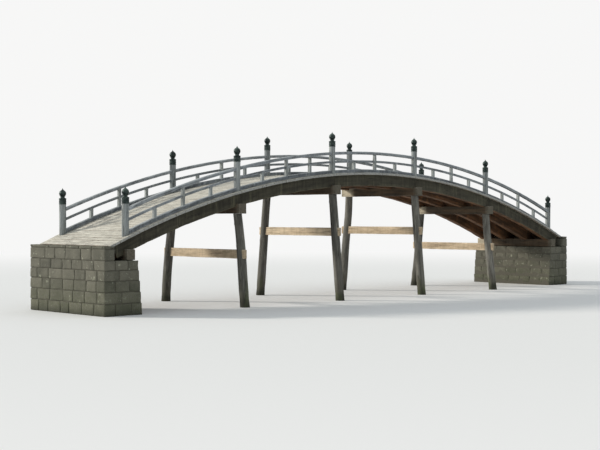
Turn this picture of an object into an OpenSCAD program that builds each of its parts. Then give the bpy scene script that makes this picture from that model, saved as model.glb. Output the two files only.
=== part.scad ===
// Moon bridge: an arched timber footbridge of five bays on four pile bents, with a post and rail
// balustrade on each side and a stone abutment at each end.
// Millimetres. X runs along the bridge, -Y is the near side, Z is up, and z = 0 is the water level.

/* [Arch] */
// Height of the deck top above the water at the crown
crown_height = 4750; // [4300:50:5400]
// Radius of the deck top
deck_radius = 31700; // [30000:100:36000]
// Distance along the bridge from one main post to the next
bay_length = 4700; // [4300:50:4900]
// How far the deck runs past the line of the end posts
end_overhang = 750; // [700:10:850]

/* [Deck] */
// Width of the deck
deck_width = 3980; // [3800:20:4200]
// Thickness of the deck boards
deck_thickness = 80; // [60:5:100]

/* [Girders] */
// Distance of the outer girders' middle from the deck's edge
girder_inset = 250; // [200:10:300]
// Width of a girder
girder_width = 260; // [220:10:280]
// Depth of a girder
girder_depth = 420; // [340:10:460]

/* [Bents] */
// Distance of a pile's axis from the deck's edge, under the cap beam
pile_inset = 220; // [200:10:300]
// How far a pile leans outward from its head to the water
pile_splay = 380; // [200:10:450]
// Diameter of a pile at the water
pile_foot_d = 340; // [280:10:400]
// Diameter of a pile under the cap beam
pile_head_d = 300; // [260:10:340]
// Width of a cap beam along the bridge
cap_width = 320; // [280:10:360]
// Depth of a cap beam
cap_depth = 340; // [300:10:400]
// How far a cap beam runs past the axis of its piles
cap_overrun = 280; // [220:10:400]
// How far a girder sinks into a cap beam
cap_notch = 80; // [60:5:100]
// Distance from a cap beam's underside down to the middle of the tie beam
tie_drop = 1380; // [1100:20:1440]
// Width of a tie beam along the bridge
tie_width = 130; // [100:10:140]
// Depth of a tie beam
tie_depth = 310; // [260:10:340]
// How far a tie beam runs past the axis of its piles
tie_overrun = 240; // [200:10:400]
// Bevel on the long edges of the beams
beam_bevel = 14; // [8:1:20]

/* [Balustrade] */
// Distance of the railing's middle from the deck's edge
rail_inset = 240; // [200:10:280]
// Diameter of a main post
post_d = 230; // [200:10:250]
// Height of a main post's wood above the deck
post_height = 1000; // [940:10:1100]
// Width of the bottom rail
bottom_rail_width = 140; // [110:10:160]
// Depth of the bottom rail
bottom_rail_depth = 130; // [100:10:150]
// Height of the middle rail's middle above the deck
middle_rail_height = 430; // [390:10:500]
// Width of the middle rail
middle_rail_width = 56; // [40:2:60]
// Depth of the middle rail
middle_rail_depth = 90; // [70:5:110]
// Height of the top rail's top above the deck
top_rail_height = 800; // [740:10:880]
// Width of the top rail
top_rail_width = 150; // [120:10:170]
// Depth of the top rail
top_rail_depth = 110; // [90:5:130]
// Bevel on the top rail's upper edges
top_rail_bevel = 22; // [10:2:30]
// How far the ends of the bottom and top rails stay from a post's axis, inside it
rail_end_gap = 35; // [20:5:60]
// How far the ends of the middle rail stay from a post's axis, inside it
middle_rail_end_gap = 70; // [40:5:80]
// Width of a strut
strut_width = 110; // [90:5:120]
// Struts in each bay, an odd number, since the middle one goes on up to the top rail
struts_per_bay = 3; // [3:2:5]

/* [Post caps] */
// How far a post cap's collar stands out round the wood
collar_wall = 8; // [5:1:14]
// Height of the collar
collar_height = 210; // [170:5:240]
// Diameter of the neck over the collar
neck_d = 144; // [120:4:160]
// Height of the neck and its cove
neck_height = 56; // [40:2:70]
// Diameter of the ring on the neck
ring_d = 192; // [170:4:210]
// Thickness of the ring
ring_height = 24; // [16:2:30]
// Diameter of the bulb
bulb_d = 232; // [210:4:250]
// Height of the bulb with its point
bulb_height = 262; // [230:4:290]

/* [Ends] */
// How far a girder stops short of the deck's end
girder_set_back = 120; // [110:5:150]
// How much of the deck's end bears on an abutment's back wall
wall_bearing = 100; // [80:5:105]
// How far a girder sinks into an end sill
sill_notch = 110; // [100:5:120]
// How far an abutment's sides stand out past the deck's edge
abutment_margin = 110; // [60:10:300]
// How far an abutment's back stands behind the deck's end
abutment_back = 300; // [250:10:600]
// How far an abutment's seat reaches in front of the sill
seat_margin = 110; // [80:10:260]
// Slope of an abutment's front: run for each unit of height
abutment_batter = 0.1; // [0.05:0.01:0.14]

/* [Hidden] */
$fn = 96;
arch_z = crown_height - deck_radius;
deck_low_r = deck_radius - deck_thickness;
girder_low_r = deck_low_r - girder_depth;
half_width = deck_width / 2;
girder_outer_y = half_width - girder_inset;
girder_inner_y = girder_outer_y / 3;
rail_y = half_width - rail_inset;
pile_head_y = half_width - pile_inset;
pile_foot_y = pile_head_y + pile_splay;
cap_half_length = pile_head_y + cap_overrun;
abutment_half_width = half_width + abutment_margin;
sill_x = 2.5 * bay_length;
deck_half_length = sill_x + end_overhang;
girder_end_x = deck_half_length - girder_set_back;
wall_front_x = deck_half_length - wall_bearing;
abutment_back_x = deck_half_length + abutment_back;
bottom_top_r = deck_radius + bottom_rail_depth;
middle_low_r = deck_radius + middle_rail_height - middle_rail_depth / 2;
middle_top_r = deck_radius + middle_rail_height + middle_rail_depth / 2;
top_top_r = deck_radius + top_rail_height;
top_low_r = top_top_r - top_rail_depth;
near = -1;
far = 1;
// How far shapes that cut away reach past what they cut
cut = 200;
timber = "#8a7763";
grey_timber = "#a89c8b";
log_colour = "#7d7165";
deck_colour = "#b3a58f";
bronze = "#3f3b35";
masonry = "#8d8a80";

// Post lines are numbered 0 to 5 from the left end to the right end
function post_x(i) = (i - 2.5) * bay_length;
function post_angle(i) = asin(post_x(i) / deck_radius);
function arc_z(x, r) = arch_z + sqrt(r * r - x * x);
function end_angle(x) = asin(x / deck_radius);
function bay_start(i) = i == 1 ? -end_angle(girder_end_x) : post_angle(i - 1);
function bay_end(i) = i == 5 ? end_angle(girder_end_x) : post_angle(i);
function deck_start(i) = i == 1 ? -end_angle(deck_half_length) : post_angle(i - 1);
function deck_end(i) = i == 5 ? end_angle(deck_half_length) : post_angle(i);
function cap_top(i) = arc_z(post_x(i), girder_low_r) + cap_notch;
function cap_low(i) = cap_top(i) - cap_depth;
function tie_z(i) = cap_low(i) - tie_drop;
function sill_top() = arc_z(sill_x, girder_low_r) + sill_notch;
function sill_low() = sill_top() - cap_depth;

// Curved in an even number of steps where steps are drawn, so that one falls on an arc's middle
function arc_fn(a) = let (n = ceil(256 * a / 360)) n % 2 == 0 ? 256 : floor((n - 1) * 360 / a);

// A bar that follows the arch, between two angles from the crown, two radii and two widths
module arc_bar(a0, a1, r0, r1, y0, y1) {
    translate([0, 0, arch_z]) rotate([90, 0, 0]) rotate([0, 0, 90 - a1])
        rotate_extrude(angle = a1 - a0, $fn = arc_fn(a1 - a0))
            translate([r0, -y1]) square([r1 - r0, y1 - y0]);
}

// The same bar with its two upper edges bevelled
module bevelled_arc(a0, a1, r0, r1, y, width, bevel) {
    translate([0, 0, arch_z]) rotate([90, 0, 0]) rotate([0, 0, 90 - a1])
        rotate_extrude(angle = a1 - a0, $fn = arc_fn(a1 - a0))
            polygon([[r0, -y - width / 2], [r1 - bevel, -y - width / 2], [r1, -y - width / 2 + bevel],
                     [r1, -y + width / 2 - bevel], [r1 - bevel, -y + width / 2], [r0, -y + width / 2]]);
}

module box(x0, x1, y0, y1, z0, z1) {
    translate([x0, y0, z0]) cube([x1 - x0, y1 - y0, z1 - z0]);
}

// A squared beam across the bridge with its four long edges bevelled
module beam(x, half_length, width, low, top) {
    w = width / 2;
    b = beam_bevel;
    translate([x, half_length, 0]) rotate([90, 0, 0]) linear_extrude(2 * half_length)
        polygon([[b - w, low], [w - b, low], [w, low + b], [w, top - b],
                 [w - b, top], [b - w, top], [-w, top - b], [-w, low + b]]);
}

module post_core(i, side, low, high) {
    translate([post_x(i), side * rail_y, low]) cylinder(d = post_d, h = high - low);
}

module girder_set(a0, a1) {
    for (y = [-girder_outer_y, -girder_inner_y, girder_inner_y, girder_outer_y])
        arc_bar(a0, a1, girder_low_r, deck_low_r, y - girder_width / 2, y + girder_width / 2);
}

// Stands for the girders where a beam is notched to take them
module girder_cutters(angle) {
    for (y = [-girder_outer_y, -girder_inner_y, girder_inner_y, girder_outer_y])
        arc_bar(angle - 1, angle + 1, girder_low_r, deck_low_r, y - girder_width / 2, y + girder_width / 2);
}

module girders_bay(i) {
    color(timber) girder_set(bay_start(i), bay_end(i));
}

// The posts stand through round holes on the line between two bays
module deck_bay(i) {
    color(deck_colour) difference() {
        arc_bar(deck_start(i), deck_end(i), deck_low_r, deck_radius, -deck_width / 2, deck_width / 2);
        for (side = [near, far]) for (p = [i - 1, i])
            post_core(p, side, arc_z(post_x(p), deck_radius) - 2 * cut, arc_z(post_x(p), deck_radius) + cut);
    }
}

module cap_beam(i) {
    color(timber) difference() {
        beam(post_x(i), cap_half_length, cap_width, cap_low(i), cap_top(i));
        girder_cutters(post_angle(i));
    }
}

module tie_beam(i) {
    color(timber)
        beam(post_x(i), pile_y(i, tie_z(i)) + tie_overrun, tie_width,
             tie_z(i) - tie_depth / 2, tie_z(i) + tie_depth / 2);
}

function pile_y(i, z) = pile_foot_y + (pile_head_y - pile_foot_y) * z / cap_low(i);

// A leaning tapered log, level at the water and under the cap beam, with a mortise for the tie beam
module pile(i, side) {
    lean = atan((pile_foot_y - pile_head_y) / cap_low(i));
    run = cap_low(i) / cos(lean);
    grow = (pile_foot_d - pile_head_d) / 2 / run;
    color(log_colour) difference() {
        intersection() {
            translate([post_x(i), side * pile_foot_y, 0]) rotate([side * lean, 0, 0])
                translate([0, 0, -cut])
                    cylinder(r1 = pile_foot_d / 2 + cut * grow, r2 = pile_head_d / 2 - cut * grow,
                             h = run + 2 * cut);
            box(post_x(i) - pile_foot_d, post_x(i) + pile_foot_d,
                min(0, side * 2 * pile_foot_y), max(0, side * 2 * pile_foot_y), 0, cap_low(i));
        }
        tie_beam(i);
    }
}

module end_sill(side_x) {
    color(timber) difference() {
        beam(side_x * sill_x, cap_half_length, cap_width, sill_low(), sill_top());
        girder_cutters(side_x * end_angle(sill_x));
    }
}

// A seat under the sill and a back wall under the end of the deck, in one mass of masonry
module abutment(side_x) {
    seat = sill_low();
    front = sill_x - cap_width / 2 - seat_margin;
    top = arc_z(deck_half_length, deck_radius);
    color(masonry) difference() {
        mirror([side_x < 0 ? 1 : 0, 0, 0]) rotate([90, 0, 0])
            translate([0, 0, -abutment_half_width]) linear_extrude(2 * abutment_half_width)
                polygon([[front - seat * abutment_batter, 0], [abutment_back_x, 0],
                         [abutment_back_x, top], [wall_front_x, top],
                         [wall_front_x, seat], [front, seat]]);
        arc_bar(side_x > 0 ? post_angle(5) : -end_angle(deck_half_length),
                side_x > 0 ? end_angle(deck_half_length) : post_angle(0),
                deck_low_r, deck_radius + cut, -deck_width / 2, deck_width / 2);
    }
}

// A rail is one arched bar in each bay, cut to the round of the posts that it meets
function rail_start(b, r, inset) = asin((post_x(b - 1) + inset) / r);
function rail_end(b, r, inset) = asin((post_x(b) - inset) / r);

module fit_to_posts(b, side) {
    difference() {
        children();
        for (p = [b - 1, b])
            post_core(p, side, arc_z(post_x(p), deck_radius) - cut,
                      arc_z(post_x(p), deck_radius) + post_height + cut);
    }
}

module bottom_rail(side) {
    color(grey_timber) for (b = [1 : 5]) fit_to_posts(b, side)
        arc_bar(rail_start(b, bottom_top_r, rail_end_gap), rail_end(b, bottom_top_r, rail_end_gap),
                deck_radius, bottom_top_r,
                side * rail_y - bottom_rail_width / 2, side * rail_y + bottom_rail_width / 2);
}

module middle_rail(side) {
    color(grey_timber) for (b = [1 : 5]) fit_to_posts(b, side)
        arc_bar(rail_start(b, middle_top_r, middle_rail_end_gap),
                rail_end(b, middle_top_r, middle_rail_end_gap), middle_low_r, middle_top_r,
                side * rail_y - middle_rail_width / 2, side * rail_y + middle_rail_width / 2);
}

module top_rail(side) {
    color(grey_timber) for (b = [1 : 5]) fit_to_posts(b, side)
        bevelled_arc(rail_start(b, top_top_r, rail_end_gap), rail_end(b, top_top_r, rail_end_gap),
                     top_low_r, top_top_r, side * rail_y, top_rail_width, top_rail_bevel);
}

module posts(side) {
    color(timber) for (p = [0 : 5]) difference() {
        post_core(p, side, arc_z(post_x(p), deck_radius) - cut, arc_z(post_x(p), deck_radius) + post_height);
        translate([0, 0, arch_z]) rotate([0, post_angle(p), 0])
            box(-post_d, post_d, side * rail_y - post_d, side * rail_y + post_d,
                deck_low_r - 2 * cut, deck_low_r);
    }
}

// The middle strut of a bay reaches the top rail, with the middle rail let through it, and the others
// stop under the middle rail
module struts(side) {
    color(grey_timber) for (b = [1 : 5]) for (k = [1 : struts_per_bay]) {
        a = post_angle(b - 1) + (post_angle(b) - post_angle(b - 1)) * k / (struts_per_bay + 1);
        x = deck_radius * sin(a);
        tall = 2 * k == struts_per_bay + 1;
        difference() {
            box(x - strut_width / 2, x + strut_width / 2,
                side * rail_y - strut_width / 2, side * rail_y + strut_width / 2,
                arc_z(x, deck_radius), arc_z(x, top_top_r));
            arc_bar(a - 1, a + 1, deck_radius - cut, bottom_top_r,
                    side * rail_y - strut_width, side * rail_y + strut_width);
            if (tall)
                arc_bar(a - 1, a + 1, middle_low_r, middle_top_r,
                        side * rail_y - middle_rail_width / 2, side * rail_y + middle_rail_width / 2);
            arc_bar(a - 1, a + 1, tall ? top_low_r : middle_low_r, top_top_r + cut,
                    side * rail_y - strut_width, side * rail_y + strut_width);
        }
    }
}

// Points of a curve from a to d that leaves towards b and arrives from c, without its first point
function curve(a, b, c, d, steps) = [for (i = [1 : steps]) let (t = i / steps, s = 1 - t)
    s * s * s * a + 3 * s * s * t * b + 3 * s * t * t * c + t * t * t * d];

// The outline of a post cap: a collar on the wood, a cove and a neck, a ring, and an onion bulb whose
// swelling side turns inward to a drawn-out point
function post_cap_outline() =
    let (collar = post_d / 2 + collar_wall, neck = neck_d / 2, ring = ring_d / 2, w = bulb_d / 2,
         ring_z = collar_height + neck_height, bulb_z = ring_z + ring_height,
         seat = [0.72 * w, bulb_z], turn = [0.79 * w, bulb_z + 0.57 * bulb_height])
    concat([[0, 0], [collar, 0], [collar, collar_height]],
           curve([collar, collar_height], [neck + 8, collar_height + 4],
                 [neck, collar_height + 14], [neck, ring_z - 12], 5),
           [[neck, ring_z]],
           curve([neck, ring_z], [ring + 6, ring_z], [ring + 6, bulb_z], seat, 6),
           curve(seat, [1.08 * w, bulb_z + 0.06 * bulb_height],
                 [1.12 * w, bulb_z + 0.4 * bulb_height], turn, 8),
           curve(turn, [0.5 * w, bulb_z + 0.71 * bulb_height],
                 [0.13 * w, bulb_z + 0.72 * bulb_height], [0, bulb_z + bulb_height], 8));

module post_caps(side) {
    color(bronze) for (p = [0 : 5])
        translate([post_x(p), side * rail_y, arc_z(post_x(p), deck_radius) + post_height])
            rotate_extrude() polygon(post_cap_outline());
}

abutment(-1);  // abutment_left
abutment(1);  // abutment_right
end_sill(-1);  // end_sill_left
end_sill(1);  // end_sill_right
pile(1, near);  // pile_near_1
pile(2, near);  // pile_near_2
pile(3, near);  // pile_near_3
pile(4, near);  // pile_near_4
pile(1, far);  // pile_far_1
pile(2, far);  // pile_far_2
pile(3, far);  // pile_far_3
pile(4, far);  // pile_far_4
cap_beam(1);  // cap_beam_1
cap_beam(2);  // cap_beam_2
cap_beam(3);  // cap_beam_3
cap_beam(4);  // cap_beam_4
tie_beam(1);  // tie_beam_1
tie_beam(2);  // tie_beam_2
tie_beam(3);  // tie_beam_3
tie_beam(4);  // tie_beam_4
girders_bay(1);  // girders_bay_1
girders_bay(2);  // girders_bay_2
girders_bay(3);  // girders_bay_3
girders_bay(4);  // girders_bay_4
girders_bay(5);  // girders_bay_5
deck_bay(1);  // deck_bay_1
deck_bay(2);  // deck_bay_2
deck_bay(3);  // deck_bay_3
deck_bay(4);  // deck_bay_4
deck_bay(5);  // deck_bay_5
bottom_rail(near);  // near_bottom_rail
middle_rail(near);  // near_middle_rail
top_rail(near);  // near_top_rail
struts(near);  // near_struts
posts(near);  // near_posts
post_caps(near);  // near_post_caps
bottom_rail(far);  // far_bottom_rail
middle_rail(far);  // far_middle_rail
top_rail(far);  // far_top_rail
struts(far);  // far_struts
posts(far);  // far_posts
post_caps(far);  // far_post_caps
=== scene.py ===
import math

import bpy
import numpy as np
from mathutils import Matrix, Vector


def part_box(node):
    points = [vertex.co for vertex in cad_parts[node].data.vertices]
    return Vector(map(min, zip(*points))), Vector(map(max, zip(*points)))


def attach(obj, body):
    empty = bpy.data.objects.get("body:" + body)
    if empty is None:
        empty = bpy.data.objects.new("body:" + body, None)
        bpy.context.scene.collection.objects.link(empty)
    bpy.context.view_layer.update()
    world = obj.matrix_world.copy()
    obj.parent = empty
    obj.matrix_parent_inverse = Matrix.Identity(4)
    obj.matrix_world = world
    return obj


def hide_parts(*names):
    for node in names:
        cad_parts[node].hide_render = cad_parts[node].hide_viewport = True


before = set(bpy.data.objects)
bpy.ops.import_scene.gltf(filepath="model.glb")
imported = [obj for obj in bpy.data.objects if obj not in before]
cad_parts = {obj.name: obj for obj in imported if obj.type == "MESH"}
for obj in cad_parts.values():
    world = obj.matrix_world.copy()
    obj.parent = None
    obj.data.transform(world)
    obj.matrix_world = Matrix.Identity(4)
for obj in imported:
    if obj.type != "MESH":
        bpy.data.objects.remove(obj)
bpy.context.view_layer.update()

# An arched timber footbridge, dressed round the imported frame. Metres, in the frame's own axes:
# +X runs along the bridge, -Y is the near side, and z = 0 is the water level.

SIDES = {"near": -1, "far": 1}
BAYS = range(1, 6)
BENTS = range(1, 5)
POSTS = range(6)

# Sizes read from the frame
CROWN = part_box("deck_bay_3")[1].z
DECK_END_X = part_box("deck_bay_5")[1].x
DECK_END_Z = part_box("abutment_right")[1].z
HALF_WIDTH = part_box("deck_bay_3")[1].y
POST_R = (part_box("near_posts")[1].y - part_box("near_posts")[0].y) / 2
RAIL_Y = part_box("far_posts")[1].y - POST_R
END_POST_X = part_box("near_posts")[1].x - POST_R
BAY = END_POST_X / 2.5
RISE = CROWN - DECK_END_Z
DECK_R = (DECK_END_X ** 2 + RISE ** 2) / (2 * RISE)
ARCH_Z = CROWN - DECK_R
GIRDER_END_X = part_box("girders_bay_5")[1].x
GIRDER_OUTER_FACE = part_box("girders_bay_3")[1].y
ABUTMENT_HALF_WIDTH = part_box("abutment_right")[1].y
ABUTMENT_BACK_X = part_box("abutment_right")[1].x
ABUTMENT_FOOT_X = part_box("abutment_right")[0].x
SEAT_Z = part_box("end_sill_right")[0].z

# Sizes that the frame's boxes don't give
DECK_THICKNESS = 0.08
GIRDER_DEPTH = 0.42
GIRDER_WIDTH = 0.26
BOTTOM_RAIL = (0.14, 0.13)
MIDDLE_RAIL = (0.056, 0.09)
MIDDLE_RAIL_HEIGHT = 0.43
TOP_RAIL = (0.15, 0.11)
TOP_RAIL_HEIGHT = 0.80
STRUT_WIDTH = 0.11
STRUTS_PER_BAY = 3
POST_HEIGHT = 1.0
BOARD_PITCH = 0.2
BOARD_GAP = 0.008
PILE_FOOT_R = 0.17
PILE_HEAD_R = 0.15
PILE_FOOT_Y = 2.15
PILE_HEAD_Y = 1.77
WALL_FRONT_X = DECK_END_X - 0.1
BATTER = 0.1
STONE_THICKNESS = 0.42
COURSES = (0.0, 0.22, 0.43, 0.63, 0.82, 1.0)

GIRDER_LOW_R = DECK_R - DECK_THICKNESS - GIRDER_DEPTH
X_AXIS, Y_AXIS, Z_AXIS = np.eye(3)

# Seeds of the random draws. The number of a bay or bent, or the sign of a side, is added to them.
SEEDS = {"deck": 100, "girders": 200, "bents": 300, "sills": 354, "rails": 400, "struts": 500,
         "posts": 600, "post_caps": 700, "abutments": 800}

# How far a piece is moved in the noises' space, so that no two look the same
TIMBER_SHIFT = 90.0
METAL_SHIFT = 20.0
STONE_SHIFT = 30.0

# Marks on old wood, and what streaks and rain multiply its colour by
CRACK = "#1d1813"
OPEN_CHECK = "#17130f"
LICHEN = "#b3b5a2"
STREAK_TINT = (0.42, 0.38, 0.34, 1)
RAIN_TINT = (0.36, 0.34, 0.31, 1)


def arch_height(x, radius=DECK_R):
    """Height over the water, at x, of the arc of that radius."""
    return ARCH_Z + np.sqrt(radius ** 2 - x ** 2)


def post_x(index):
    """Where a bent and its posts stand, from 0 at the left end to 5 at the right."""
    return (index - 2.5) * BAY


def arc_angle(x, radius=DECK_R):
    """The angle from the crown at which the arc of that radius reaches x."""
    return math.asin(x / radius)


def bay_ends(bay, end_x, joint=0.0):
    """Angles where a bay's deck or girders begin and end. The end bays run on to end_x."""
    start = -arc_angle(end_x) if bay == BAYS[0] else arc_angle(post_x(bay - 1)) + joint
    end = arc_angle(end_x) if bay == BAYS[-1] else arc_angle(post_x(bay)) - joint
    return start, end


def bay_span(bay, radius, inset):
    """Angles of a rail's ends in a bay, which stop inside the posts."""
    return arc_angle(post_x(bay - 1) + inset, radius), arc_angle(post_x(bay) - inset, radius)


def split_length(start, end, size, rng, spread=(0.75, 1.25)):
    """Places that cut a length into parts of about that size, uneven by the spread."""
    count = max(1, round((end - start) / size))
    shares = rng.uniform(*spread, count)
    return start + (end - start) * np.concatenate([[0], np.cumsum(shares)]) / shares.sum()


# Building meshes

class Build:
    """Collects closed forms, with their grain directions and marks, and makes one object of them."""

    def __init__(self):
        self.points = []
        self.grain = []
        self.marks = []
        self.faces = []
        self.count = 0

    def add(self, points, grain, marks, faces):
        """Adds vertices and faces. A vertex's marks are a tone from 0 to 1, then 1 at an arris and -1 in
        an open check, then 1 on a sawn end or in mortar."""
        self.points.append(points)
        self.grain.append(grain)
        self.marks.append(marks)
        self.faces.extend((np.asarray(faces) + self.count).tolist())
        self.count += len(points)

    def loft(self, rings, grain, tone, arris, end_mark=1.0, side_mark=0.0):
        """A closed form through rings of points, which run counter-clockwise seen from the last one."""
        count, size = rings.shape[:2]
        marks = np.zeros((count, size, 3))
        marks[..., 0] = tone
        marks[..., 1] = arris
        marks[..., 2] = side_mark
        i, j = np.meshgrid(np.arange(count - 1), np.arange(size), indexing="ij")
        k = (j + 1) % size
        quads = np.stack([i * size + j, i * size + k, (i + 1) * size + k, (i + 1) * size + j], -1)
        self.add(rings.reshape(-1, 3), grain.reshape(-1, 3), marks.reshape(-1, 3), quads.reshape(-1, 4))
        for ring, way in ((0, -1), (count - 1, 1)):
            self.cap(rings[ring], grain[ring], tone, way, end_mark)

    def cap(self, ring, grain, tone, way, end_mark):
        """The flat end of a loft, on vertices of its own."""
        size = len(ring)
        points = np.vstack([ring, ring.mean(0)])
        marks = np.tile([tone, 0.0, end_mark], (size + 1, 1))
        j = np.arange(size)
        k = (j + 1) % size
        fan = [j, k, np.full(size, size)] if way > 0 else [k, j, np.full(size, size)]
        self.add(points, np.vstack([grain, grain.mean(0)]), marks, np.stack(fan, -1))

    def make(self, name, material, slot, *nodes, sharp=35.0):
        """Makes the object, which rides on the bridge and stands for the named nodes."""
        mesh = bpy.data.meshes.new(name)
        mesh.from_pydata(np.concatenate(self.points).tolist(), [], self.faces)
        for key, rows in (("grain", self.grain), ("marks", self.marks)):
            values = np.concatenate(rows).astype(np.float32).ravel()
            mesh.attributes.new(key, "FLOAT_VECTOR", "POINT").data.foreach_set("vector", values)
        mesh.shade_smooth()
        mesh.set_sharp_from_angle(angle=math.radians(sharp))
        mesh.materials.append(material)
        piece = bpy.data.objects.new(name, mesh)
        bpy.context.scene.collection.objects.link(piece)
        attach(piece, "root")
        if nodes:
            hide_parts(*nodes)


def waves(rng, along, around, reach, count, turns=3):
    """Smooth uneven values near -1 to 1, by distance along and by angle around a form."""
    value = np.zeros(np.broadcast(along, around).shape)
    for _ in range(count):
        rate = rng.uniform(0.3, 1.0) * math.tau / reach
        value += np.sin(rate * along + rng.integers(0, turns + 1) * around + rng.uniform(0, math.tau))
    return value / math.sqrt(count)


def section(width, depth, low_arris, top_arris, steps=2):
    """A bar's outline, counter-clockwise from the lower right, and 1 at its arrises and 0 between."""
    worn_band = 0.03
    corners = ((1, -1, -90, low_arris), (1, 1, 0, top_arris),
               (-1, 1, 90, top_arris), (-1, -1, 180, low_arris))

    def on_corner(number, turned):
        x, y, start, radius = corners[number % 4]
        turn = math.radians(start + turned)
        centre = np.array([x * (width / 2 - radius), y * (depth / 2 - radius)])
        return centre + radius * np.array([math.cos(turn), math.sin(turn)])

    outline = []
    marks = []
    for number in range(4):
        for step in range(steps + 1):
            outline.append(on_corner(number, 90 * step / steps))
            marks.append(1.0)
        first = outline[-1]
        run = on_corner(number + 1, 0) - first
        share = min(worn_band / np.linalg.norm(run), 0.25)
        for part in (share, 0.5, 1 - share):
            outline.append(first + run * part)
            marks.append(0.0)
    return np.array(outline), np.array(marks)


def bar(build, centres, across, up, outline, rng, wear, chips, end_bevel=0.006, tones=(0, 1)):
    """A squared timber along a line of centres, with worn arrises and uneven faces. heart is how far the
    tree's own heart may lie from its middle."""
    shape, arris = outline
    heart = 0.25
    centres = np.asarray(centres, float)
    steps = np.linalg.norm(np.diff(centres, axis=0), axis=1)
    along = np.concatenate([[0], np.cumsum(steps)])
    length = along[-1]
    rows = np.concatenate([[0, end_bevel], along[1:-1], [length - end_bevel, length]])

    def fit(values):
        return np.stack([np.interp(rows, along, values[:, n]) for n in range(3)], -1)

    line = fit(centres)
    sides = fit(np.broadcast_to(across, centres.shape))
    ups = fit(np.broadcast_to(up, centres.shape))
    angle = np.arctan2(shape[:, 1], shape[:, 0])
    inward = wear * (0.5 + 0.35 * waves(rng, rows[:, None], angle[None], reach=1.6, count=4))
    chipped = waves(rng, rows[:, None], angle[None] * 2, reach=0.35, count=4, turns=5)
    inward = inward + chips * arris * np.clip(chipped - 0.4, 0, 2)
    inward[0] += end_bevel
    inward[-1] += end_bevel
    scale = 1 - np.clip(inward, 0, None) / np.linalg.norm(shape, axis=1)
    flat = shape[None] * scale[..., None]
    rings = line[:, None] + sides[:, None] * flat[..., :1] + ups[:, None] * flat[..., 1:]
    offset = [rng.uniform(0, TIMBER_SHIFT), rng.uniform(-heart, heart), rng.uniform(-heart, heart)]
    distance = np.broadcast_to(rows[:, None, None], flat.shape[:2] + (1,))
    grain = np.concatenate([distance, flat], -1) + np.array(offset)
    if np.dot(np.cross(sides[0], ups[0]), line[1] - line[0]) < 0:
        rings = rings[:, ::-1]
        grain = grain[:, ::-1]
        arris = arris[::-1]
    build.loft(rings, grain, rng.uniform(*tones), arris[None])


def arc_line(start, end, radius, y, spacing):
    """Centres, and the upward directions there, along an arc between two angles from the crown."""
    count = max(3, int(abs(end - start) * radius / spacing) + 1)
    angle = np.linspace(start, end, count)
    up = np.stack([np.sin(angle), np.zeros(count), np.cos(angle)], -1)
    return up * radius + np.array([0, y, ARCH_Z]), up


def log(build, foot, head, foot_r, head_r, rng, segments, spacing, checks, knots, sway=0.004,
        waterline=False):
    """A round timber with open drying checks, knots and a slow lean of its grain. One that stands in
    water is worn just over it."""
    check_depth = 0.020
    knot_height = 0.010
    knot_area = 0.0022
    worn_depth = 0.009
    worn_at = 0.28
    worn_reach = 0.16
    foot = np.array(foot, float)
    head = np.array(head, float)
    length = np.linalg.norm(head - foot)
    count = int(length / spacing) + 2
    share = np.linspace(0, 1, count)[:, None]
    along = share * length
    turn = np.arange(segments)[None] * math.tau / segments
    lean = rng.uniform(-0.25, 0.25) * share
    twist = turn + lean + 0.05 * waves(rng, along, 0 * turn, reach=2.0, count=3)
    radius = foot_r + (head_r - foot_r) * share + 0 * turn
    radius = radius * (1 + 0.010 * waves(rng, along, turn, reach=1.5, count=5) - 0.008)
    for _ in range(knots):
        where = rng.uniform(0.15, 0.95) * length
        side = rng.uniform(0, math.tau)
        gap = np.abs((turn - side + math.pi) % math.tau - math.pi) * foot_r
        radius = radius + knot_height * np.exp(-(gap ** 2 + (along - where) ** 2) / knot_area)
    mark = np.zeros_like(radius)
    for _ in range(checks):
        column = int(rng.integers(0, segments))
        middle = rng.uniform(0.1, 0.9) * length
        reach = rng.uniform(0.25, 0.6) * length
        open_part = np.clip(1 - ((along[:, 0] - middle) / reach) ** 2, 0, 1) ** 0.5
        rough = np.clip(0.8 + 0.3 * waves(rng, along[:, 0], 0.0, reach=0.4, count=3), 0.2, 1.4)
        radius[:, column] -= check_depth * open_part * rough
        mark[:, column] = np.maximum(mark[:, column], open_part)
    if waterline:
        radius = radius - worn_depth * np.exp(-((along - worn_at) / worn_reach) ** 2)
    centre = foot + (head - foot) * share
    bend = np.zeros((count, 3))
    for wave in (1, 2, 3):
        way = np.array([rng.uniform(-1, 1), rng.uniform(-1, 1), 0])
        bend += sway / wave * np.sin(wave * math.pi * share) * way
    x = radius * np.cos(twist)
    y = radius * np.sin(twist)
    rings = (centre + bend)[:, None] + np.stack([x, y, 0 * x], -1)
    straight = np.stack([radius * np.cos(turn), radius * np.sin(turn)], -1)
    distance = (along + rng.uniform(0, TIMBER_SHIFT))[..., None] + 0 * straight[..., :1]
    build.loft(rings, np.concatenate([distance, straight], -1), rng.uniform(0, 1), mark * -1.0)


def lathe(build, outline, centre, rng, segments=64):
    """A turned form about an upright axis, from pairs of radius and height that run upward."""
    profile = np.array(outline)
    turn = np.arange(segments) * math.tau / segments
    radius = profile[:, 0][:, None]
    height = profile[:, 1][:, None] + 0 * turn
    rings = np.stack([radius * np.cos(turn), radius * np.sin(turn), height], -1)
    grain = rings + rng.uniform(-METAL_SHIFT, METAL_SHIFT, 3)
    build.loft(rings + np.array(centre), grain, rng.uniform(0, 1), 0.0, 0.0)


def curve(start, lead, arrive, end, steps):
    """Points of a curve that leaves towards lead and comes in from arrive, without its first point."""
    t = np.linspace(0, 1, steps + 1)[1:, None]
    s = 1 - t
    a, b, c, d = [np.array(p, float) for p in (start, lead, arrive, end)]
    return (s ** 3 * a + 3 * s * s * t * b + 3 * s * t * t * c + t ** 3 * d).tolist()


# Materials

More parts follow.
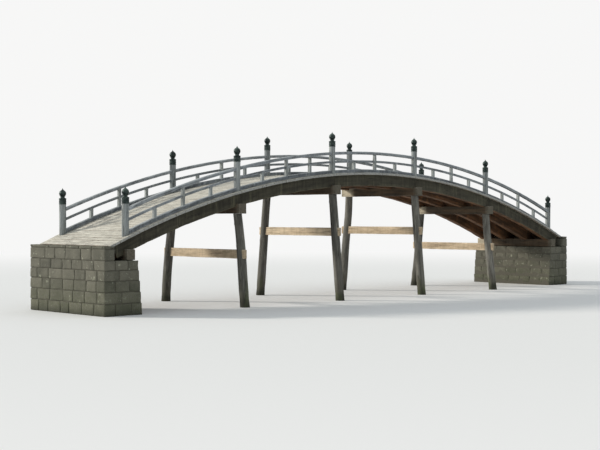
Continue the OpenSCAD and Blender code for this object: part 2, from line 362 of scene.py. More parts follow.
def colour(text):
    """A hex colour in the linear values that shaders take."""
    parts = [int(text[n:n + 2], 16) / 255 for n in (1, 3, 5)]
    return tuple(p / 12.92 if p <= 0.04045 else ((p + 0.055) / 1.055) ** 2.4 for p in parts) + (1.0,)


class Surface:
    """A material's nodes, put together by short calls that give sockets."""

    def __init__(self, name, specular=0.3):
        self.material = bpy.data.materials.new(name)
        self.material.use_nodes = True
        self.nodes = self.material.node_tree.nodes
        self.links = self.material.node_tree.links
        self.shader = self.nodes["Principled BSDF"]
        self.shader.inputs["Specular IOR Level"].default_value = specular
        self.geometry = self.nodes.new("ShaderNodeNewGeometry")

    def put(self, socket, value):
        """Links a socket, or sets a number, a vector or a hex colour."""
        if isinstance(value, bpy.types.NodeSocket):
            self.links.new(value, socket)
        elif isinstance(value, str):
            socket.default_value = colour(value)
        else:
            socket.default_value = value

    def attribute(self, name):
        node = self.nodes.new("ShaderNodeAttribute")
        node.attribute_name = name
        return node.outputs["Vector"]

    def split(self, vector):
        node = self.nodes.new("ShaderNodeSeparateXYZ")
        self.put(node.inputs[0], vector)
        return node.outputs[0], node.outputs[1], node.outputs[2]

    def scaled(self, vector, x, y, z):
        node = self.nodes.new("ShaderNodeVectorMath")
        node.operation = "MULTIPLY"
        self.put(node.inputs[0], vector)
        node.inputs[1].default_value = (x, y, z)
        return node.outputs[0]

    def length(self, vector):
        node = self.nodes.new("ShaderNodeVectorMath")
        node.operation = "LENGTH"
        self.put(node.inputs[0], vector)
        return node.outputs["Value"]

    def noise(self, vector, scale=1.0, detail=3.0, roughness=0.5, distortion=0.0):
        node = self.nodes.new("ShaderNodeTexNoise")
        self.put(node.inputs["Vector"], vector)
        node.inputs["Scale"].default_value = scale
        node.inputs["Detail"].default_value = detail
        node.inputs["Roughness"].default_value = roughness
        node.inputs["Distortion"].default_value = distortion
        return node.outputs[0]

    def math(self, operation, a, b=0.0, clamp=False):
        node = self.nodes.new("ShaderNodeMath")
        node.operation = operation
        node.use_clamp = clamp
        self.put(node.inputs[0], a)
        self.put(node.inputs[1], b)
        return node.outputs[0]

    def times(self, a, b, clamp=False):
        return self.math("MULTIPLY", a, b, clamp)

    def plus(self, a, b):
        return self.math("ADD", a, b)

    def level(self, value, low, high, to_low=0.0, to_high=1.0):
        """value between low and high, eased and spread over another range."""
        node = self.nodes.new("ShaderNodeMapRange")
        node.interpolation_type = "SMOOTHSTEP"
        self.put(node.inputs["Value"], value)
        ranges = {"From Min": low, "From Max": high, "To Min": to_low, "To Max": to_high}
        for key, number in ranges.items():
            node.inputs[key].default_value = number
        return node.outputs[0]

    def lines(self, field, narrow, wide, strength=1.0):
        """Thin lines where a noise crosses its middle value."""
        off = self.math("ABSOLUTE", self.math("SUBTRACT", field, 0.5))
        return self.level(off, narrow, wide, strength, 0.0)

    def mix(self, share, a, b, mode="MIX"):
        """Two colours mixed. The node's colour sockets are its inputs 6 and 7 and its output 2."""
        node = self.nodes.new("ShaderNodeMix")
        node.data_type = "RGBA"
        node.blend_type = mode
        self.put(node.inputs[0], share)
        self.put(node.inputs[6], a)
        self.put(node.inputs[7], b)
        return node.outputs[2]

    def tinted(self, base, tint):
        """A colour multiplied by another."""
        return self.mix(1.0, base, tint, "MULTIPLY")

    def grey(self, value):
        """A number as a grey colour, to multiply another colour by."""
        node = self.nodes.new("ShaderNodeCombineColor")
        for socket in node.inputs[:3]:
            self.put(socket, value)
        return node.outputs[0]

    def finish(self, base, roughness, height, distance):
        """The material, with those colours and roughness and a relief of that height."""
        node = self.nodes.new("ShaderNodeBump")
        node.inputs["Distance"].default_value = distance
        self.put(node.inputs["Height"], height)
        self.put(self.shader.inputs["Base Color"], base)
        self.put(self.shader.inputs["Roughness"], roughness)
        self.put(self.shader.inputs["Normal"], node.outputs[0])
        return self.material


def timber(name, heart, pale, sunned, below, end, sun_share, underside_shade_share, change=None, rain=0.45,
           contrast=0.55, lichen=0.0):
    """Old unpainted wood: fibres, streaks and checks along the grain, bleached above and worn at the
    arrises, streaked down its upright faces by rain, with growth rings on its ends. Faces that look down
    get a darker colour as painted shade. change alters the colours by their place on the bridge."""
    s = Surface(name)
    grain = s.attribute("grain")
    tone, arris, end_mark = s.split(s.attribute("marks"))
    place = s.geometry.outputs["Position"]
    up = s.split(s.geometry.outputs["Normal"])[2]
    broad = s.noise(s.scaled(grain, 0.5, 7, 7), detail=3)
    streak = s.noise(s.scaled(grain, 0.9, 42, 42), detail=4, roughness=0.6, distortion=0.2)
    fibre = s.noise(s.scaled(grain, 5, 300, 300), detail=2)
    blotch = s.noise(s.scaled(grain, 2.2, 6, 6), detail=4, roughness=0.65)
    field = s.noise(s.scaled(grain, 0.5, 26, 26), detail=2, distortion=0.1)
    checked = s.level(s.noise(s.scaled(grain, 1.3, 9, 9), detail=1), 0.47, 0.60)
    check = s.times(s.lines(field, 0.004, 0.020), checked)

    # Heart and pale wood, bleached where it faces up, with painted shade in a darker colour where it
    # faces down
    share = s.plus(s.times(s.level(broad, 0.3, 0.7), contrast), s.times(tone, 1 - contrast))
    base = s.mix(share, heart, pale)
    bleach = s.level(blotch, 0.25, 0.65, 0.55 * sun_share, sun_share)
    base = s.mix(s.times(s.level(up, 0.1, 0.85), bleach), base, sunned)
    # Painted shade: the below colour on faces that look down
    base = s.mix(s.level(up, -0.2, -0.8, 0.0, underside_shade_share), base, below)
    base = s.mix(s.level(streak, 0.42, 0.75, 0.0, 0.55), base, s.tinted(base, STREAK_TINT))

    # Dark and pale runs of rain down the upright faces, and worn arrises
    upright = s.level(s.math("ABSOLUTE", up), 0.75, 0.35, 0.0, rain)
    runs = s.noise(s.scaled(place, 11, 11, 0.9), detail=4, roughness=0.6)
    base = s.mix(s.times(upright, s.level(runs, 0.48, 0.66)), base, s.tinted(base, RAIN_TINT))
    base = s.mix(s.times(upright, s.level(runs, 0.44, 0.30)), base, sunned)
    worn = s.times(s.math("MAXIMUM", arris, 0.0), s.level(blotch, 0.4, 0.6, 0.1, 0.5))
    base = s.mix(worn, base, sunned)

    # Fibres, blotches, lichen and checks
    base = s.tinted(base, s.grey(s.level(fibre, 0.25, 0.75, 0.80, 1.18)))
    base = s.tinted(base, s.grey(s.level(blotch, 0.2, 0.8, 0.80, 1.16)))
    if lichen:
        spots = s.noise(place, 34.0, detail=3, roughness=0.6)
        patch = s.level(s.noise(place, 3.0, detail=2), 0.48, 0.60, 0.0, lichen)
        base = s.mix(s.times(patch, s.level(spots, 0.56, 0.62)), base, LICHEN)
    base = s.mix(s.times(check, 0.8), base, CRACK)
    base = s.mix(s.level(arris, 0.0, -0.9, 0.0, 0.85), base, OPEN_CHECK)

    base = s.mix(end_mark, base, end_grain(s, grain, heart, end))
    if change:
        base = change(s, base)
    height = s.plus(s.times(streak, 0.5), s.times(fibre, 0.25))
    height = s.math("SUBTRACT", height, s.times(check, 1.1))
    return s.finish(base, s.level(streak, 0.2, 0.8, 0.92, 0.72), height, 0.005)


def end_grain(s, grain, heart, end):
    """A sawn end: growth rings, 1 cm apart, about the tree's heart, with rays and cracks."""
    ring_rate = 620.0
    pith = s.length(s.scaled(grain, 0, 1, 1))
    warped = s.plus(pith, s.times(s.noise(s.scaled(grain, 0, 9, 9), detail=2), 0.03))
    rings = s.math("SINE", s.times(warped, ring_rate))
    cut = s.mix(s.level(rings, -0.8, 0.9, 0.15, 0.75), heart, end)
    ray = s.noise(s.scaled(grain, 0, 60, 60), detail=3)
    cut = s.mix(s.level(ray, 0.52, 0.72, 0.0, 0.6), cut, heart)
    split = s.noise(s.scaled(grain, 0, 16, 16), detail=2)
    return s.mix(s.lines(split, 0.003, 0.014, 0.8), cut, CRACK)


def under_deck_painted_shade(s, base):
    """Painted shade and painted reflected light under the deck, inside the outer girders' faces, on what
    doesn't face up: a dark reddish brown, with orange streaks of painted reflection and darker patches of
    painted shade."""
    place = s.geometry.outputs["Position"]
    across = s.math("ABSOLUTE", s.split(place)[1])
    up = s.split(s.geometry.outputs["Normal"])[2]
    within = s.level(across, GIRDER_OUTER_FACE - 0.02, GIRDER_OUTER_FACE - 0.03)
    mottle = s.noise(s.scaled(s.attribute("grain"), 0.8, 9, 9), detail=4)
    # Painted shade: a dark reddish brown under the deck
    warm = s.mix(s.level(mottle, 0.35, 0.65), "#483525", "#755339")
    glow_and_shade_noise = s.noise(s.scaled(place, 3, 3, 3), detail=4, roughness=0.65)
    # Painted reflection: orange streaks of reflected light
    warm = s.mix(s.level(glow_and_shade_noise, 0.52, 0.70, 0.0, 0.7), warm, "#8e6340")
    # Painted shade: darker patches
    warm = s.mix(s.level(glow_and_shade_noise, 0.44, 0.30, 0.0, 0.7), warm, "#33271d")
    return s.mix(s.times(s.times(within, s.level(up, 0.6, 0.2)), 0.9), base, warm)


def painted_beam_shade(s, base):
    """Painted shade on a beam: a dark brown under the deck and a greyed near end, while the far end,
    where the sun falls, keeps the wood's pale colour."""
    near_end = -HALF_WIDTH - 0.05
    near_fade = 0.25
    far_end = HALF_WIDTH - 0.35
    far_fade = 0.40
    across = s.split(s.geometry.outputs["Position"])[1]
    mottle = s.noise(s.scaled(s.attribute("grain"), 0.9, 8, 8), detail=4)
    # Painted shade: dark brown under the deck
    beam_under_shade = s.mix(s.level(mottle, 0.35, 0.65), "#2c2218", "#54412d")
    under = s.mix(s.level(across, far_end, far_end - far_fade, 0.05, 0.92), base, beam_under_shade)
    # Painted shade: the near end greyed
    grey = s.tinted(base, (0.32, 0.33, 0.34, 1))
    return s.mix(s.level(across, near_end + near_fade, near_end), under, grey)


def wet_foot(s, base):
    """Algae and a dark tide line on what stands in the water, uneven by a noise."""
    place = s.geometry.outputs["Position"]
    height = s.split(place)[2]
    drift = s.times(s.noise(s.scaled(place, 5, 5, 2.5), detail=4), 0.35)
    reach = s.math("SUBTRACT", height, drift)
    base = s.mix(s.level(reach, 0.75, 0.1, 0.0, 0.55), base, "#4c4a3c")
    base = s.mix(s.level(reach, 0.22, -0.05, 0.0, 0.85), base, "#2b2c22")
    green = s.noise(s.scaled(place, 3, 3, 1.2), detail=4)
    share = s.times(s.level(green, 0.48, 0.68), s.level(height, 1.5, 0.2, 0.0, 0.55))
    return s.mix(share, base, "#57603f")


def stone_material():
    """Weathered squared stone: speckled, blotched, darker and greener low down. Its mortar is marked."""
    s = Surface("old_stone", specular=0.35)
    place = s.attribute("grain")
    tone, _, mortar_mark = s.split(s.attribute("marks"))
    height = s.split(s.geometry.outputs["Position"])[2]
    up = s.split(s.geometry.outputs["Normal"])[2]
    broad = s.noise(place, 2.3, detail=5, roughness=0.62)
    speck = s.noise(place, 95.0, detail=2)
    grit = s.noise(place, 30.0, detail=4, roughness=0.7)
    share = s.plus(s.times(s.level(broad, 0.3, 0.7), 0.5), s.times(tone, 0.5))
    base = s.mix(share, "#4a4940", "#716e62")
    base = s.mix(s.level(speck, 0.55, 0.7, 0.0, 0.5), base, "#3c3b35")
    base = s.mix(s.level(speck, 0.42, 0.30, 0.0, 0.35), base, "#8d8a7d")
    lichen = s.noise(place, 5.5, detail=5, roughness=0.7)
    base = s.mix(s.level(lichen, 0.60, 0.68, 0.0, 0.55), base, "#b9bba6")
    moss = s.plus(s.level(height, 1.5, 0.1, 0.1, 0.6), s.level(up, 0.3, 0.9, 0.0, 0.3))
    base = s.mix(s.times(moss, s.level(grit, 0.35, 0.62)), base, "#4c5336")
    base = s.mix(s.level(height, 0.30, 0.0, 0.0, 0.75), base, "#35372c")
    base = s.mix(s.times(mortar_mark, 0.85), base, "#57544a")
    relief = s.plus(s.times(grit, 0.8), s.times(speck, 0.25))
    return s.finish(base, s.level(grit, 0.3, 0.7, 0.78, 0.95), relief, 0.012)


def bronze_material():
    """Dark weathered bronze with pale green bloom in patches and on what faces the sky."""
    s = Surface("dark_bronze", specular=0.5)
    place = s.attribute("grain")
    up = s.split(s.geometry.outputs["Normal"])[2]
    cloud = s.noise(place, 9.0, detail=5, roughness=0.65)
    drip = s.noise(s.scaled(place, 60, 60, 6), detail=3)
    fine = s.noise(place, 160.0, detail=2)
    base = s.mix(s.level(cloud, 0.35, 0.65), "#1d2526", "#3a4441")
    bloom = s.plus(s.level(up, 0.2, 0.9, 0.0, 0.35), s.level(drip, 0.55, 0.75, 0.0, 0.45))
    bloom = s.times(bloom, s.level(cloud, 0.4, 0.62), clamp=True)
    base = s.mix(bloom, base, "#7c978c")
    s.put(s.shader.inputs["Metallic"], s.math("SUBTRACT", 0.85, bloom, clamp=True))
    rough = s.plus(s.level(cloud, 0.3, 0.7, 0.34, 0.52), s.times(bloom, 0.4))
    return s.finish(base, rough, s.plus(fine, cloud), 0.0015)


def iron_material():
    """The rusty heads of the spikes that hold the boards."""
    s = Surface("rusty_iron", specular=0.4)
    patch = s.noise(s.attribute("grain"), 70.0, detail=3)
    base = s.mix(s.level(patch, 0.35, 0.65), "#2a211b", "#5e3b26")
    return s.finish(base, s.level(patch, 0.3, 0.7, 0.62, 0.85), patch, 0.002)


# The bridge

def deck(material, iron):
    """Boards across the girders, laid bay by bay, with spikes in them over each girder."""
    uneven_tilt = 0.006
    uneven_height = 0.004
    uneven_end = 0.016
    spike_place = 0.28
    spike_drift = 0.02
    head_sink = 0.004
    rows = 9
    for bay in BAYS:
        rng = np.random.default_rng(SEEDS["deck"] + bay)
        start, end = bay_ends(bay, DECK_END_X)
        edges = split_length(start, end, BOARD_PITCH / DECK_R, rng, spread=(0.93, 1.07))
        build = Build()
        spikes = Build()
        for first, last in zip(edges[:-1], edges[1:]):
            middle = (first + last) / 2
            width = (last - first) * DECK_R - BOARD_GAP
            outline = section(width, DECK_THICKNESS, low_arris=0.004, top_arris=0.007)
            tilt = middle + rng.uniform(-uneven_tilt, uneven_tilt)
            up = np.array([math.sin(tilt), 0, math.cos(tilt)])
            side = np.array([math.cos(tilt), 0, -math.sin(tilt)])
            radius = DECK_R - DECK_THICKNESS / 2 - rng.uniform(0.0, uneven_height)
            centre = np.array([math.sin(middle) * radius, 0, ARCH_Z + math.cos(middle) * radius])
            near_end = -HALF_WIDTH + rng.uniform(0, uneven_end)
            far_end = HALF_WIDTH - rng.uniform(0, uneven_end)
            ys = np.linspace(near_end, far_end, rows)
            line = centre + np.stack([0 * ys, ys, 0 * ys], -1)
            bar(build, line, side, up, outline, rng, wear=0.003, chips=0.006)
            for y in girder_lines():
                for place in (-spike_place, spike_place):
                    where = centre + up * (DECK_THICKNESS / 2 - head_sink) + side * place * width
                    where = where + np.array([0, y + rng.uniform(-spike_drift, spike_drift), 0])
                    spike(spikes, where, up, side, rng)
        build.make(f"deck_boards_{bay}", material, "deck_timber", f"deck_bay_{bay}")
        spikes.make(f"deck_spikes_{bay}", iron, "dark_bronze")


def spike(build, centre, up, side, rng):
    """A spike's low domed head."""
    radius = 0.011
    top_radius = 0.55 * radius
    height = 0.005
    sides = 8
    turn = np.arange(sides) * math.tau / sides
    circle = np.cos(turn)[:, None] * side - np.sin(turn)[:, None] * np.cross(up, side)
    rings = np.stack([centre - up * height + circle * radius, centre + circle * radius,
                      centre + up * height + circle * top_radius])
    grain = rings + rng.uniform(-METAL_SHIFT, METAL_SHIFT, 3)
    build.loft(rings, grain, rng.uniform(0, 1), 0.0, 0.0)


def girder_lines():
    """The distances from the middle, along Y, of a bay's four girders."""
    outer = GIRDER_OUTER_FACE - GIRDER_WIDTH / 2
    return (-outer, -outer / 3, outer / 3, outer)


def girders(material):
    """Arched timbers, four to a bay, that meet end to end over the caps."""
    outline = section(GIRDER_WIDTH, GIRDER_DEPTH, low_arris=0.012, top_arris=0.012)
    radius = GIRDER_LOW_R + GIRDER_DEPTH / 2
    joint = 0.003 / DECK_R
    for bay in BAYS:
        rng = np.random.default_rng(SEEDS["girders"] + bay)
        build = Build()
        start, end = bay_ends(bay, GIRDER_END_X, joint)
        for y in girder_lines():
            line, up = arc_line(start, end, radius, y, spacing=0.16)
            bar(build, line, Y_AXIS, up, outline, rng, wear=0.006, chips=0.012)
        build.make(f"girder_timbers_{bay}", material, "girder_timber", f"girders_bay_{bay}")


def cross_beam(name, node, material, rng):
    """A squared beam across the bridge, in the box of its node."""
    low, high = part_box(node)
    size = high - low
    middle = (low + high) / 2
    rows = 28
    ys = np.linspace(low.y, high.y, rows)
    line = np.stack([np.full(rows, middle.x), ys, np.full(rows, middle.z)], -1)
    outline = section(size.x, size.z, low_arris=0.014, top_arris=0.014)
    build = Build()
    bar(build, line, X_AXIS, Z_AXIS, outline, rng, wear=0.006, chips=0.010, end_bevel=0.010)
    build.make(name, material, "beam_timber", node)


def bents(cap, beam, wood):
    """Piles, cap beams and tie beams of the four bents, and the sills at the ends."""
    for bent in BENTS:
        rng = np.random.default_rng(SEEDS["bents"] + bent)
        cross_beam(f"cap_timber_{bent}", f"cap_beam_{bent}", cap, rng)
        cross_beam(f"tie_timber_{bent}", f"tie_beam_{bent}", beam, rng)
        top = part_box(f"cap_beam_{bent}")[0].z
        x = post_x(bent)
        for side, sign in SIDES.items():
            build = Build()
            log(build, (x, sign * PILE_FOOT_Y, 0), (x, sign * PILE_HEAD_Y, top), PILE_FOOT_R, PILE_HEAD_R,
                rng, segments=72, spacing=0.07, checks=4, knots=5, sway=0.024, waterline=True)
            build.make(f"{side}_pile_log_{bent}", wood, "log_timber", f"pile_{side}_{bent}")
    for number, end in enumerate(("left", "right")):
        rng = np.random.default_rng(SEEDS["sills"] + number)
        cross_beam(f"sill_timber_{end}", f"end_sill_{end}", cap, rng)


def rails(material):
    """Bottom, middle and top rail on each side, a length in each bay. Each kind has its section, the
    height of its middle over the deck, its arrises below and above, and its range of tones: the bottom
    rail's darker tones are painted shade and the top rail's paler ones are painted light."""
    # The tones: painted shade on the bottom rail, painted light on the top rail
    kinds = {
        "bottom": (BOTTOM_RAIL, BOTTOM_RAIL[1] / 2, 0.010, 0.014, (0.0, 0.35)),
        "middle": (MIDDLE_RAIL, MIDDLE_RAIL_HEIGHT, 0.008, 0.010, (0.2, 0.8)),
        "top": (TOP_RAIL, TOP_RAIL_HEIGHT - TOP_RAIL[1] / 2, 0.010, 0.034, (0.5, 1.0)),
    }
    inset = POST_R * 0.6
    for side, sign in SIDES.items():
        for number, (kind, (size, height, low, top, tones)) in enumerate(kinds.items()):
            rng = np.random.default_rng(SEEDS["rails"] + 10 * number + sign)
            build = Build()
            outline = section(size[0], size[1], low, top, steps=3)
            radius = DECK_R + height
            for bay in BAYS:
                start, end = bay_span(bay, radius, inset)
                line, up = arc_line(start, end, radius, sign * RAIL_Y, spacing=0.12)
                bar(build, line, Y_AXIS, up, outline, rng, wear=0.003, chips=0.005, tones=tones)
            build.make(f"{side}_{kind}_rail_timber", material, "rail_timber", f"{side}_{kind}_rail")


def struts(material):
    """Upright struts on the bottom rail: the middle one of a bay reaches the top rail, through the
    middle rail, and the others stop under the middle rail."""
    outline = section(STRUT_WIDTH, STRUT_WIDTH, low_arris=0.010, top_arris=0.010)
    under_top = DECK_R + TOP_RAIL_HEIGHT - TOP_RAIL[1]
    under_middle = DECK_R + MIDDLE_RAIL_HEIGHT - MIDDLE_RAIL[1] / 2
    sink = 0.03
    rows = 9
    for side, sign in SIDES.items():
        rng = np.random.default_rng(SEEDS["struts"] + sign)
        build = Build()
        for bay in BAYS:
            first = arc_angle(post_x(bay - 1))
            last = arc_angle(post_x(bay))
            for number in range(1, STRUTS_PER_BAY + 1):
                x = DECK_R * math.sin(first + (last - first) * number / (STRUTS_PER_BAY + 1))
                tall = 2 * number == STRUTS_PER_BAY + 1
                low = arch_height(x, DECK_R + BOTTOM_RAIL[1]) - sink
                high = arch_height(x, under_top if tall else under_middle) + sink
                heights = np.linspace(low, high, rows)
                line = np.stack([np.full(rows, x), np.full(rows, sign * RAIL_Y), heights], -1)
                bar(build, line, X_AXIS, Y_AXIS, outline, rng, wear=0.004, chips=0.006)
        build.make(f"{side}_strut_timber", material, "rail_timber", f"{side}_struts")


def posts(material):
    """Round main posts, each over a bent or at an end of the deck."""
    sink = 0.01
    for side, sign in SIDES.items():
        rng = np.random.default_rng(SEEDS["posts"] + sign)
        build = Build()
        y = sign * RAIL_Y
        for post in POSTS:
            x = post_x(post)
            low = arch_height(x, DECK_R - DECK_THICKNESS) - sink
            top = arch_height(x) + POST_HEIGHT + sink
            log(build, (x, y, low), (x, y, top), POST_R, POST_R, rng, segments=56, spacing=0.05, checks=3,
                knots=2)
        build.make(f"{side}_post_logs", material, "post_timber", f"{side}_posts")


def cap_outline():
    """Radius and height of a post cap, from its foot up: a banded collar, a cove, a ring and a bulb."""
    band = POST_R + 0.008
    collar = band - 0.004
    collar_top = 0.208
    neck = 0.072
    ring = 0.104
    ring_foot = 0.266
    bulb = 0.116
    foot = 0.290
    height = 0.262
    shape = [[POST_R - 0.005, 0.0], [band, 0.0]]
    for low in (0.004, 0.092, 0.176):
        shape += [[band, low], [band, low + 0.018], [band - 0.001, low + 0.021], [collar, low + 0.023]]
        shape += [[collar, low + 0.050]] if low < 0.1 else []
    shape += [[collar, collar_top]]
    shape += curve((collar, collar_top), (neck + 0.010, collar_top + 0.002), (neck, collar_top + 0.010),
                   (neck, collar_top + 0.028), 8)
    shape += [[neck, ring_foot - 0.004], [neck + 0.002, ring_foot]]
    bulb_foot = (0.72 * bulb, foot)
    shape += curve((neck + 0.002, ring_foot), (ring, ring_foot), (ring, foot - 0.001), bulb_foot, 8)
    turn = (0.79 * bulb, foot + 0.57 * height)
    shape += curve(bulb_foot, (1.08 * bulb, foot + 0.06 * height),
                   (1.12 * bulb, foot + 0.40 * height), turn, 16)
    shape += curve(turn, (0.50 * bulb, foot + 0.71 * height), (0.13 * bulb, foot + 0.72 * height),
                   (0.0015, foot + height), 14)
    return shape


def post_caps(material):
    """A turned cap on each main post."""
    for side, sign in SIDES.items():
        rng = np.random.default_rng(SEEDS["post_caps"] + sign)
        build = Build()
        for post in POSTS:
            x = post_x(post)
            lathe(build, cap_outline(), (x, sign * RAIL_Y, arch_height(x) + POST_HEIGHT), rng)
        build.make(f"{side}_bronze_caps", material, "dark_bronze", f"{side}_post_caps", sharp=50)


def stone(build, low, high, rng):
    """A squared stone with rounded arrises and hammered faces, inside its box."""
    joint = 0.006
    round_off = 0.022
    dent_depth = 0.006
    dent_waves = 7
    cells = 7
    low = np.array(low, float)
    high = np.array(high, float)
    half = (high - low) / 2 - joint
    middle = (high + low) / 2
    radius = np.minimum(round_off, half * 0.4)
    steps = []
    for n in range(3):
        reach = half[n] - radius[n]
        steps.append(np.concatenate([[-half[n]], np.linspace(-reach, reach, cells - 1), [half[n]]]))

    # A box of cells, whose faces share the points of their edges
    index = {}
    points = []
    faces = []
    for axis in range(3):
        for end, way in ((0, -1), (cells, 1)):
            u, v = [n for n in range(3) if n != axis]
            if (axis == 1) == (way > 0):
                u, v = v, u
            grid = np.zeros((cells + 1, cells + 1), int)
            for a, b in np.ndindex(grid.shape):
                key = [0, 0, 0]
                key[axis] = end
                key[u] = a
                key[v] = b
                key = tuple(key)
                if key not in index:
                    index[key] = len(points)
                    points.append([steps[n][key[n]] for n in range(3)])
                grid[a, b] = index[key]
            for a, b in np.ndindex(cells, cells):
                faces.append([grid[a, b], grid[a + 1, b], grid[a + 1, b + 1], grid[a, b + 1]])

    # Rounded at the arrises, then dented along the faces' own directions
    points = np.array(points)
    inner = np.clip(points, -(half - radius), half - radius)
    away = points - inner
    size = np.linalg.norm(away / radius, axis=1, keepdims=True)
    points = inner + away / np.maximum(size, 1)
    spread = points + middle
    rough = np.zeros(len(points))
    for _ in range(dent_waves):
        way = rng.normal(size=3)
        rate = rng.uniform(6, 26)
        rough += np.sin(spread @ (way / np.linalg.norm(way)) * rate + rng.uniform(0, math.tau))
    dent = dent_depth * np.clip(0.9 + 0.45 * rough, 0, 3)
    normal = away / np.maximum(np.linalg.norm(away, axis=1, keepdims=True), 1e-9)
    points = points - normal * dent[:, None] + middle
    marks = np.tile([rng.uniform(0, 1), 0.0, 0.0], (len(points), 1))
    build.add(points, points + rng.uniform(-STONE_SHIFT, STONE_SHIFT, 3), marks, faces)


def stones_across(cuts, front, back, low, high):
    """Boxes for stones side by side across the bridge, between two places along it and two heights."""
    return [((front, a, low), (back, b, high)) for a, b in zip(cuts[:-1], cuts[1:])]


def abutments(material):
    """Coursed stone: a battered mass under the seat, and a back wall that carries the deck's end."""
    thick = STONE_THICKNESS
    side_y = ABUTMENT_HALF_WIDTH
    back = ABUTMENT_BACK_X
    levels = SEAT_Z * np.array(COURSES)
    ledge = arch_height(DECK_END_X, DECK_R - DECK_THICKNESS) - 0.012
    deck_side = HALF_WIDTH + 0.01
    deck_end = DECK_END_X + 0.008
    for end, sign in (("left", -1), ("right", 1)):
        rng = np.random.default_rng(SEEDS["abutments"] + sign)
        build = Build()
        blocks = []
        for course, (low, high) in enumerate(zip(levels[:-1], levels[1:])):
            front = ABUTMENT_FOOT_X + BATTER * high
            corner = thick if course % 2 else 0.0
            cuts = split_length(-side_y + corner, side_y - corner, size=0.62, rng=rng)
            blocks += stones_across(cuts, front, front + thick, low, high)
            blocks += stones_across(cuts, back - thick, back, low, high)
            gap = thick - corner
            for side in SIDES.values():
                cuts = split_length(front + gap, back - gap, size=0.6, rng=rng)
                ys = sorted((side * side_y, side * (side_y - thick)))
                blocks += [((a, ys[0], low), (b, ys[1], high)) for a, b in zip(cuts[:-1], cuts[1:])]
        cuts = split_length(-side_y, side_y, size=0.66, rng=rng)
        blocks += stones_across(cuts, WALL_FRONT_X, back, SEAT_Z, ledge)
        cuts = split_length(-deck_side, deck_side, size=0.8, rng=rng)
        blocks += stones_across(cuts, deck_end, back, ledge, DECK_END_Z)
        for side in SIDES.values():
            ys = sorted((side * side_y, side * deck_side))
            blocks.append(((WALL_FRONT_X, ys[0], ledge), (back, ys[1], DECK_END_Z)))
        for low, high in blocks:
            xs = sorted((sign * low[0], sign * high[0]))
            stone(build, (xs[0], low[1], low[2]), (xs[1], high[1], high[2]), rng)
        mortar(build, sign)
        build.make(f"{end}_abutment_stones", material, "masonry", f"abutment_{end}", sharp=60)


def mortar(build, sign):
    """The masses behind the stones' faces, which show in their joints: under the seat, under the deck's
    end, and beyond it. Each has its face, its foot, its top and its batter."""
    sink = 0.035
    overlap = 0.05
    y = ABUTMENT_HALF_WIDTH - sink
    back = ABUTMENT_BACK_X - sink
    wall_top = DECK_END_Z - sink - DECK_THICKNESS
    masses = ((ABUTMENT_FOOT_X + sink, 0.0, SEAT_Z - sink, BATTER),
              (WALL_FRONT_X + sink, SEAT_Z - 2 * overlap, wall_top, 0.0),
              (DECK_END_X + 0.02, wall_top - overlap, DECK_END_Z - sink, 0.0))
    for face, low, high, batter in masses:
        rings = []
        for x, z in ((face, low), (face + batter * (high - low), high)):
            ring = [(sign * x, -y, z), (sign * back, -y, z), (sign * back, y, z), (sign * x, y, z)]
            rings.append(ring if sign > 0 else ring[::-1])
        rings = np.array(rings)
        build.loft(rings, rings, 0.3, 0.0, 1.0, side_mark=1.0)


# The stage, the light and the camera

def seen_rays(nodes, links):
    """1 for rays that show the background: from the camera, in gloss and through glass."""
    rays = nodes.new("ShaderNodeLightPath")
    total = rays.outputs["Is Camera Ray"]
    for kind in ("Is Glossy Ray", "Is Transmission Ray"):
        add = nodes.new("ShaderNodeMath")
        add.operation = "ADD"
        add.use_clamp = True
        links.new(total, add.inputs[0])
        links.new(rays.outputs[kind], add.inputs[1])
        total = add.outputs[0]
    return total


def floor(white):
    """A pale floor that keeps the bridge's shadow and fades, far out, into the background."""
    half = 400.0
    fade_start = 18.0
    fade_end = 60.0
    material = bpy.data.materials.new("floor")
    material.use_nodes = True
    nodes = material.node_tree.nodes
    links = material.node_tree.links
    shader = nodes["Principled BSDF"]
    shader.inputs["Base Color"].default_value = (0.82, 0.82, 0.81, 1)
    shader.inputs["Roughness"].default_value = 0.9
    glow = nodes.new("ShaderNodeEmission")
    glow.inputs["Color"].default_value = white
    place = nodes.new("ShaderNodeNewGeometry")
    reach = nodes.new("ShaderNodeVectorMath")
    reach.operation = "LENGTH"
    far = nodes.new("ShaderNodeMapRange")
    far.interpolation_type = "SMOOTHSTEP"
    far.inputs["From Min"].default_value = fade_start
    far.inputs["From Max"].default_value = fade_end
    share = nodes.new("ShaderNodeMath")
    share.operation = "MULTIPLY"
    blend = nodes.new("ShaderNodeMixShader")
    links.new(place.outputs["Position"], reach.inputs[0])
    links.new(reach.outputs["Value"], far.inputs["Value"])
    links.new(far.outputs[0], share.inputs[0])
    links.new(seen_rays(nodes, links), share.inputs[1])
    links.new(share.outputs[0], blend.inputs[0])
    links.new(shader.outputs[0], blend.inputs[1])
    links.new(glow.outputs[0], blend.inputs[2])
    links.new(blend.outputs[0], nodes["Material Output"].inputs["Surface"])
    corners = [(-half, -half, 0), (half, -half, 0), (half, half, 0), (-half, half, 0)]
    mesh = bpy.data.meshes.new("floor")
    mesh.from_pydata(corners, [], [(0, 1, 2, 3)])
    mesh.materials.append(material)
    plane = bpy.data.objects.new("floor", mesh)
    bpy.context.scene.collection.objects.link(plane)


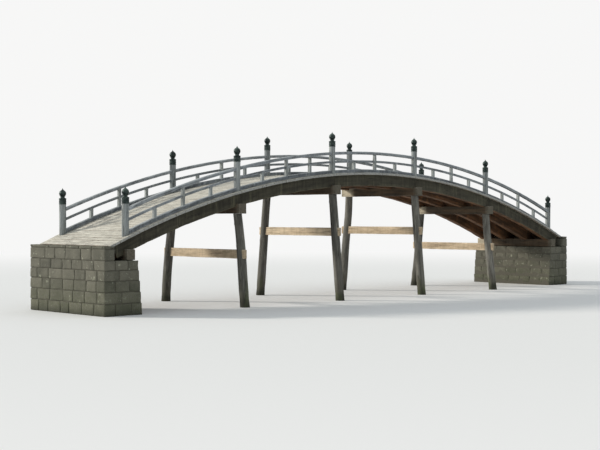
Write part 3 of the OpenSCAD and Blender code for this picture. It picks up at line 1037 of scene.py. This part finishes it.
def sky(white):
    """Even light from all round, with a plain background where the camera sees it."""
    world = bpy.data.worlds.new("studio")
    bpy.context.scene.world = world
    world.use_nodes = True
    nodes = world.node_tree.nodes
    links = world.node_tree.links
    light = nodes["Background"]
    light.inputs["Color"].default_value = (0.90, 0.96, 1.0, 1)
    light.inputs["Strength"].default_value = 0.62
    seen = nodes.new("ShaderNodeBackground")
    seen.inputs["Color"].default_value = white
    blend = nodes.new("ShaderNodeMixShader")
    links.new(seen_rays(nodes, links), blend.inputs[0])
    links.new(light.outputs[0], blend.inputs[1])
    links.new(seen.outputs[0], blend.inputs[2])
    links.new(blend.outputs[0], nodes["World Output"].inputs["Surface"])


def sun():
    """One soft sun from the upper left and behind, as in the photograph."""
    towards = Vector((-0.54, 0.68, 0.36))
    data = bpy.data.lights.new("sun", "SUN")
    data.energy = 2.9
    data.angle = math.radians(7)
    data.color = (1.0, 0.95, 0.87)
    lamp = bpy.data.objects.new("sun", data)
    lamp.rotation_mode = "QUATERNION"
    lamp.rotation_quaternion = towards.to_track_quat("Z", "Y")
    bpy.context.scene.collection.objects.link(lamp)


def camera():
    """The photograph's point of view, with a longer lens that fills the frame with the bridge."""
    place = Vector((-34.4, -32.4, 3.1))
    aim = Vector((-1.2, 1.1, 2.75))
    data = bpy.data.cameras.new("camera")
    data.sensor_width = 36.0
    data.lens = 72.0
    data.clip_end = 2000.0
    view = bpy.data.objects.new("camera", data)
    view.location = place
    view.rotation_mode = "QUATERNION"
    view.rotation_quaternion = (aim - place).to_track_quat("-Z", "Y")
    bpy.context.scene.collection.objects.link(view)
    bpy.context.scene.camera = view
    bpy.context.scene.view_settings.view_transform = "Standard"


# The colours of heartwood, pale wood, sunned wood, undersides (painted shade) and sawn ends, then how
# strong the sunned colour and the undersides' painted shade get
beam_wood = timber("beam_wood", "#b5a084", "#e2cfb1", "#e8d8be", "#6f4c34", "#a3967f", 0.8, 0.6,
                   rain=0.2)
cap_wood = timber("cap_wood", "#a2967f", "#cec4ae", "#dbd2c0", "#3f2e20", "#a39a86", 0.5, 0.6,
                  change=painted_beam_shade)
log_wood = timber("log_wood", "#454440", "#84827a", "#9a988c", "#4a4038", "#8c8474", 0.6, 0.3,
                  change=wet_foot)
girder_wood = timber("girder_wood", "#2d2b23", "#4f4c3e", "#6b6852", "#3f2a1b", "#5d5443", 0.5, 0.85,
                     change=under_deck_painted_shade)
deck_wood = timber("deck_wood", "#a09c91", "#c9c5b9", "#d6d2c5", "#5b3d29", "#a6abae", 0.85, 0.6,
                   change=under_deck_painted_shade)
rail_wood = timber("rail_wood", "#5f656c", "#9da2a6", "#bcc1c2", "#5c5a5a", "#83837f", 0.7, 0.3,
                   contrast=0.4, lichen=0.5)
post_wood = timber("post_wood", "#787e80", "#a8adac", "#babeba", "#77706a", "#8d8a82", 0.5, 0.3,
                   lichen=0.4)

white = (0.93, 0.93, 0.925, 1)
floor(white)
sky(white)
sun()
camera()
deck(deck_wood, iron_material())
girders(girder_wood)
bents(cap_wood, beam_wood, log_wood)
rails(rail_wood)
struts(post_wood)
posts(post_wood)
post_caps(bronze_material())
abutments(stone_material())
